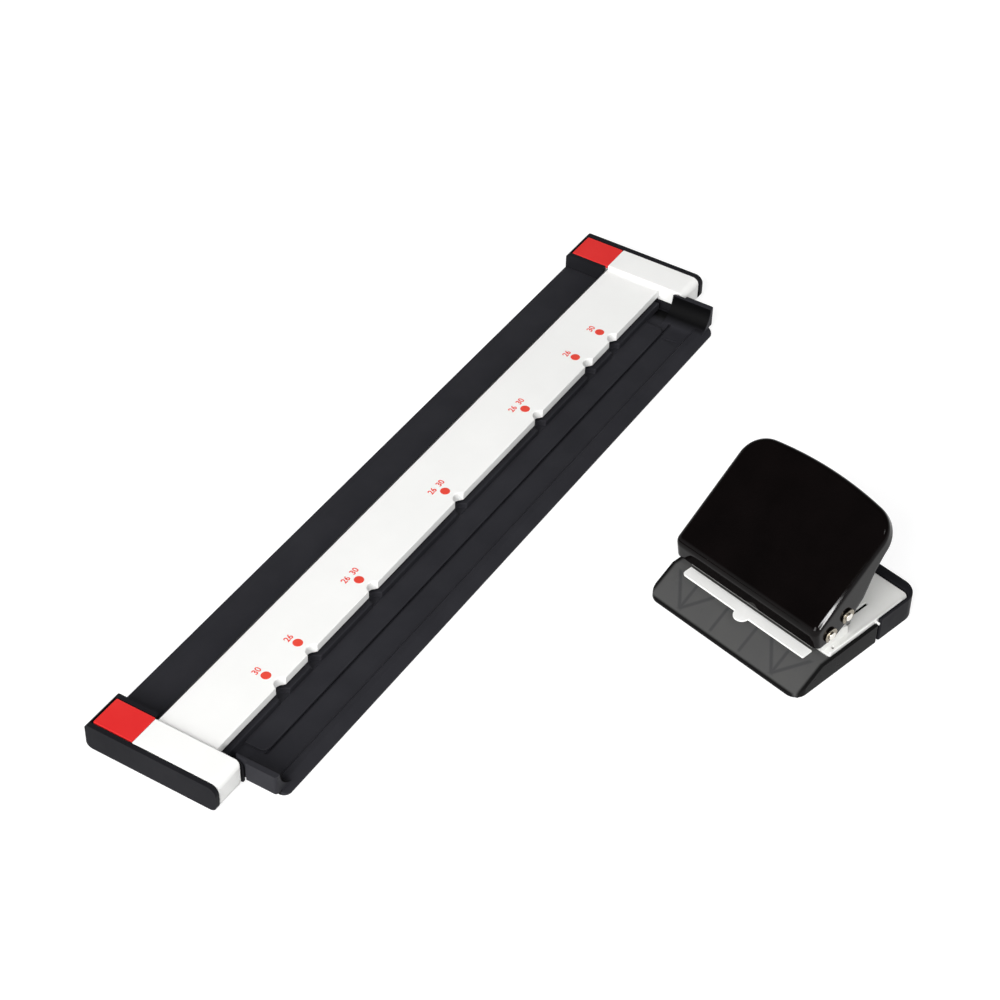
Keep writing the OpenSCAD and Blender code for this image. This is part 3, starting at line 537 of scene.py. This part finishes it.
# Satin black plastic: its two shades, range of roughness, and the size and depth of its grain
SATIN_BLACK = ((42, 42, 46), (47, 47, 51), (0.36, 0.46), 0.00035, 5e-6)
LOOKS = {
    "black_moulding": moulding("satin_black_moulding", *SATIN_BLACK, Specular_IOR_Level=0.05),
    "white_moulding": moulding("white_moulding", (246, 246, 244), (249, 249, 247), (0.34, 0.42), 0.0004, 4e-6,
                               Specular_IOR_Level=0.3),
    "red_moulding": moulding("red_moulding", (222, 40, 40), (228, 48, 46), (0.36, 0.46), 0.0004, 5e-6,
                             Specular_IOR_Level=0.3),
    # The darker colour given for the ribs is a painted shade, laid as lines over them
    "smoky_moulding": smoky("smoky_moulding", (80, 80, 80), (84, 84, 83), wall=(20, 20, 20),
                            rib_line_shade=(70, 70, 71), rough=(0.26, 0.32), grain=0.0009, depth=1e-6),
    "black_steel": painted("gloss_black_paint", (8, 6, 6), (11, 8, 8), (0.03, 0.055), 0.0016, 8e-7,
                           Specular_IOR_Level=0.1),
    "white_steel": painted("white_paint", (233, 233, 230), (239, 239, 236), (0.3, 0.4), 0.0009, 2e-6),
    "bright_steel": steel("ground_steel", (196, 198, 200), (222, 224, 226), (0.18, 0.3), (1, 1, 12), 0.0,
                          2e-6),
    "grey_steel": steel("plain_steel", (128, 128, 128), (150, 150, 150), (0.32, 0.46), (14, 1, 1), PUNCH_TURN,
                        3e-6, metallic=0.4),
    "plated_steel": steel("nickel_plate", (212, 208, 200), (228, 225, 218), (0.12, 0.22), (2, 1, 2), 0.0,
                          1.5e-6),
    "rubber": moulding("matt_rubber", (52, 52, 52), (64, 64, 64), (0.75, 0.9), 0.0005, 1.5e-5),
}
# Painted shade: the same satin black, darkened to near black inside the two scoops where they fall in shade
TRAY_MOULDING_SCOOP_SHADE = moulding("tray_moulding_scoop_shade", *SATIN_BLACK, scoop_shade=(8, 8, 9), Specular_IOR_Level=0.05)
# Painted shade: a darker copy of the same satin black plastic for the end housings and the rear base, so that
# their lit faces come out as dark as the rest of the black plastic
SHADED_BLACK_MOULDING = moulding("satin_black_painted_shade", (29, 29, 32), (33, 33, 36), (0.36, 0.46), 0.00035, 5e-6,
                         Specular_IOR_Level=0.03)
CLIP_STEEL = steel("clip_steel", (118, 110, 97), (158, 150, 134), (0.2, 0.32), (2, 1, 2), 0.0, 1.5e-6)
# Painted light: above the plate's top the hump gets a much paler colour, standing in for the light that the
# lever's lip keeps off it
GUIDE_PAINT_LIT_HUMP = painted("guide_paint_lit_hump", (104, 104, 102), (112, 112, 110), (0.4, 0.5), 0.0009, 2e-6,
                      beyond=((0, 0, 1), GUIDE_TOP, (206, 206, 204)), Specular_IOR_Level=0.1)
# Painted light and shade: a whiter copy of the white paint, standing in for the light that the lever's shadow
# takes off the strip, and a painted shade on the plate behind the guide's front, in the throat under the
# guide
DIE_PAINT_LIT_AND_SHADED = painted("die_paint_lit_and_shaded", (251, 251, 249), (254, 254, 252), (0.3, 0.4), 0.0009, 2e-6,
                    beyond=(PUNCH_REAR, GUIDE_FRONT, (70, 70, 69)))
OWN_LOOKS = {
    "end_housing_near": SHADED_BLACK_MOULDING, "end_housing_far": SHADED_BLACK_MOULDING, "rear_base": SHADED_BLACK_MOULDING,
    "base_tray": TRAY_MOULDING_SCOOP_SHADE,
    "pivot_clips": CLIP_STEEL, "drive_clips": CLIP_STEEL, "pin_guide": GUIDE_PAINT_LIT_HUMP, "die_plate": DIE_PAINT_LIT_AND_SHADED,
}
RED_INK = painted("red_ink", (232, 66, 50), (238, 76, 58), (0.4, 0.55), 0.0003, 1e-6)


# Bevels on the carried-over solids, in millimetres
EDGE_MM = {
    "paper_table": 0.25, "guide_shelf": 0.25, "clamp_bar": 0.35, "press_pad_near": 0.3, "press_pad_far": 0.3,
    "chip_tray": 0.3, "rear_base": 0.45, "frame_plate": 0.2, "die_plate": 0.15, "pin_guide": 0.15,
    "pin_holder": 0.2, "paper_stop": 0.1, "pivot_pin": 0.2, "drive_pin": 0.2, "pivot_clips": 0.12,
    "drive_clips": 0.12, "frame_screws": 0.2, "stack_rivets": 0.25,
}


def smooth_group():
    """Geometry group that shades every face smooth."""
    group = bpy.data.node_groups.new("shade_smooth", "GeometryNodeTree")
    group.interface.new_socket("Geometry", in_out="INPUT", socket_type="NodeSocketGeometry")
    group.interface.new_socket("Geometry", in_out="OUTPUT", socket_type="NodeSocketGeometry")
    entry = group.nodes.new("NodeGroupInput")
    smooth = group.nodes.new("GeometryNodeSetShadeSmooth")
    leave = group.nodes.new("NodeGroupOutput")
    group.links.new(entry.outputs[0], smooth.inputs[0])
    group.links.new(smooth.outputs[0], leave.inputs[0])
    return group


SMOOTH = smooth_group()


def round_edges(node, width):
    """Joins the loose triangles, makes flat regions whole, rounds the edges and levels the shading."""
    weld = node.modifiers.new("weld", "WELD")
    weld.merge_threshold = 1e-6
    flat = node.modifiers.new("flat", "DECIMATE")
    flat.decimate_type = "DISSOLVE"
    flat.angle_limit = math.radians(0.5)
    bevel = node.modifiers.new("bevel", "BEVEL")
    bevel.width = width
    bevel.segments = 2
    bevel.limit_method = "ANGLE"
    bevel.angle_limit = math.radians(32)
    bevel.use_clamp_overlap = False
    smooth = node.modifiers.new("smooth", "NODES")
    smooth.node_group = SMOOTH
    level = node.modifiers.new("level", "WEIGHTED_NORMAL")
    level.keep_sharp = False
    level.weight = 100


slot_of = {part["node"]: part["material_slot"] for part in frame["record"]["subparts"]}
for name, node in nodes.items():
    node.data.materials.clear()
    node.data.materials.append(OWN_LOOKS.get(name, LOOKS[slot_of[name]]))
    if name in EDGE_MM:
        round_edges(node, MM * EDGE_MM[name])


def wear(piece, material, body):
    """Gives a new piece its finish and the body it rides on."""
    piece.data.materials.clear()
    piece.data.materials.append(material)
    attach(piece, body)
    return piece


lever_pan = wear(lever_shell(), LOOKS["black_steel"], "lever")
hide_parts("lever")

# Return springs round the six pins
PIN_ROW = 26.5
PIN_PITCH = 9.5
RETURN_FOOT = 12.7
pin_across = (np.arange(6) - 2.5) * PIN_PITCH
return_coil = MM * spring_wire(radius=3.4, wire=0.24, z0=RETURN_FOOT, z1=19.5, turns=5)
returns = spring_set("return_coils", return_coil, in_row(pin_across, PIN_ROW, 0.0))
wear(returns, LOOKS["bright_steel"], "punch")
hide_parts("return_springs")
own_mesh(returns)

# Springs under the clamp bar's two tails
TAIL_X, TAIL_Y = 158.25, 26.25
CLAMP_FOOT = 1.6
clamp_coil = MM * spring_wire(radius=2.8, wire=0.3, z0=CLAMP_FOOT, z1=7.3, turns=5)
clamps = spring_set("clamp_coils", clamp_coil, MM * np.array([[-TAIL_X, TAIL_Y, 0.0], [TAIL_X, TAIL_Y, 0.0]]))
wear(clamps, LOOKS["bright_steel"], "gauge")
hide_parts("clamp_springs")
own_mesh(clamps)

# Printed dots and numbers on the clamp bar
BAR_TOP = 9.5
DOT_R = 1.9
DOT_Y = -1.1
NUMBER_Y = DOT_Y + 4.05
NUMBER_CAP = 2.6
INK = 0.03
wear(index_dots(DOT_R, DOT_Y, BAR_TOP, INK), RED_INK, "clamp")
for number, (x, words) in enumerate(STATIONS, 1):
    mark = index_number(f"index_number_{number}", words, x, NUMBER_Y, BAR_TOP, NUMBER_CAP, INK)
    wear(mark, RED_INK, "clamp")


# Stage: floor, world, lights and camera

def sight_rays(tree):
    """1 for camera, glossy and transmission rays, 0 for the rest."""
    path = tree.nodes.new("ShaderNodeLightPath")
    total = path.outputs["Is Camera Ray"]
    for ray in ("Is Glossy Ray", "Is Transmission Ray"):
        most = tree.nodes.new("ShaderNodeMath")
        most.operation = "MAXIMUM"
        tree.links.new(total, most.inputs[0])
        tree.links.new(path.outputs[ray], most.inputs[1])
        total = most.outputs[0]
    return total


def white_floor(albedo, glow):
    """Pale floor that takes shadows; its glow is for the eye and for reflections alone."""
    material = bpy.data.materials.new("studio_floor")
    material.use_nodes = True
    tree = material.node_tree
    tree.nodes.clear()
    out = tree.nodes.new("ShaderNodeOutputMaterial")
    matt = tree.nodes.new("ShaderNodeBsdfDiffuse")
    matt.inputs["Color"].default_value = (albedo, albedo, albedo, 1)
    light = tree.nodes.new("ShaderNodeEmission")
    dim = tree.nodes.new("ShaderNodeMath")
    dim.operation = "MULTIPLY"
    dim.inputs[1].default_value = glow
    tree.links.new(sight_rays(tree), dim.inputs[0])
    tree.links.new(dim.outputs[0], light.inputs["Strength"])
    both = tree.nodes.new("ShaderNodeAddShader")
    tree.links.new(matt.outputs[0], both.inputs[0])
    tree.links.new(light.outputs[0], both.inputs[1])
    tree.links.new(both.outputs[0], out.inputs["Surface"])
    return material


def lay_floor():
    """Flat square, 12 m across, on the desk plane."""
    half = 6.0
    x, y = np.meshgrid([-half, half], [-half, half], indexing="ij")
    points = np.stack([x, y, 0 * x], -1)
    floor = add_piece("floor", points, grid_faces(2, 2))
    floor.data.materials.append(white_floor(albedo=0.42, glow=0.75))


def light_world(fill):
    """Even fill for the object. Eye, gloss and glass see the white backdrop, which darkens overhead as the
    ceiling of a studio does."""
    world = bpy.data.worlds.new("studio")
    scene.world = world
    world.use_nodes = True
    tree = world.node_tree
    tree.nodes.clear()
    out = tree.nodes.new("ShaderNodeOutputWorld")
    coord = tree.nodes.new("ShaderNodeTexCoord")
    parts = tree.nodes.new("ShaderNodeSeparateXYZ")
    tree.links.new(coord.outputs["Generated"], parts.inputs[0])
    ceiling = tree.nodes.new("ShaderNodeMapRange")
    ceiling.interpolation_type = "SMOOTHSTEP"
    ceiling.inputs["From Min"].default_value = 0.12
    ceiling.inputs["From Max"].default_value = 0.5
    ceiling.inputs["To Min"].default_value = 1.0
    ceiling.inputs["To Max"].default_value = 0.06
    tree.links.new(parts.outputs["Z"], ceiling.inputs["Value"])
    backdrop = tree.nodes.new("ShaderNodeBackground")
    tree.links.new(ceiling.outputs["Result"], backdrop.inputs["Strength"])
    even = tree.nodes.new("ShaderNodeBackground")
    even.inputs["Strength"].default_value = fill
    for b in (backdrop, even):
        b.inputs["Color"].default_value = (1, 1, 1, 1)
    mix = tree.nodes.new("ShaderNodeMixShader")
    tree.links.new(sight_rays(tree), mix.inputs["Fac"])
    tree.links.new(even.outputs[0], mix.inputs[1])
    tree.links.new(backdrop.outputs[0], mix.inputs[2])
    tree.links.new(mix.outputs[0], out.inputs["Surface"])


def softbox(name, direction, distance, size, power, along=(0, 0, 0), aim=(0.0, -0.08, 0.0)):
    """Oblong area light that faces its aim from the given direction, its first side level or turned along."""
    lamp = bpy.data.lights.new(name, "AREA")
    lamp.shape = "RECTANGLE"
    lamp.size, lamp.size_y = size
    lamp.energy = power
    box = bpy.data.objects.new(name, lamp)
    scene.collection.objects.link(box)
    back = np.array(direction, float) / np.linalg.norm(direction)
    side = np.array(along, float) if any(along) else np.cross([0, 0, 1], back)
    side -= side.dot(back) * back
    side /= np.linalg.norm(side)
    up = np.cross(back, side)
    turn = np.eye(4)
    turn[:3, 0], turn[:3, 1], turn[:3, 2] = side, up, back
    turn[:3, 3] = np.array(aim) + distance * back
    box.matrix_world = Matrix(turn.tolist())


def set_camera():
    """Camera fitted to the photo: its right, down and forward directions, place and focal length."""
    lens = bpy.data.cameras.new("camera")
    lens.sensor_width = 36.0
    lens.lens = 93.626
    lens.clip_start, lens.clip_end = 0.05, 60
    camera = bpy.data.objects.new("camera", lens)
    scene.collection.objects.link(camera)
    right = np.array([0.53150688, -0.84684505, 0.01881221])
    down = np.array([-0.5627179, -0.36960545, -0.73941894])
    ahead = np.array([0.63312637, 0.38242029, -0.67298271])
    turn = np.eye(4)
    turn[:3, 0], turn[:3, 1], turn[:3, 2] = right, -down, -ahead
    turn[:3, 3] = [-0.607488, -0.392149, 0.662767]
    camera.matrix_world = Matrix(turn.tolist())
    scene.camera = camera


lay_floor()
light_world(fill=0.32)
softbox("overhead", (-0.1, -0.5, 0.85), distance=1.7, size=(0.26, 0.26), power=2)
# A thin strip, placed so that the fold down the lever's right side mirrors it
softbox("lever_strip", (-0.424, -0.798, 0.427), distance=1.5, size=(1.5, 0.02), power=9.5,
        along=(0.366, -0.631, -0.684))
softbox("left", (-0.86, 0.0, 0.51), distance=3.0, size=(1.4, 2.0), power=97)
set_camera()
scene.view_settings.view_transform = "Standard"
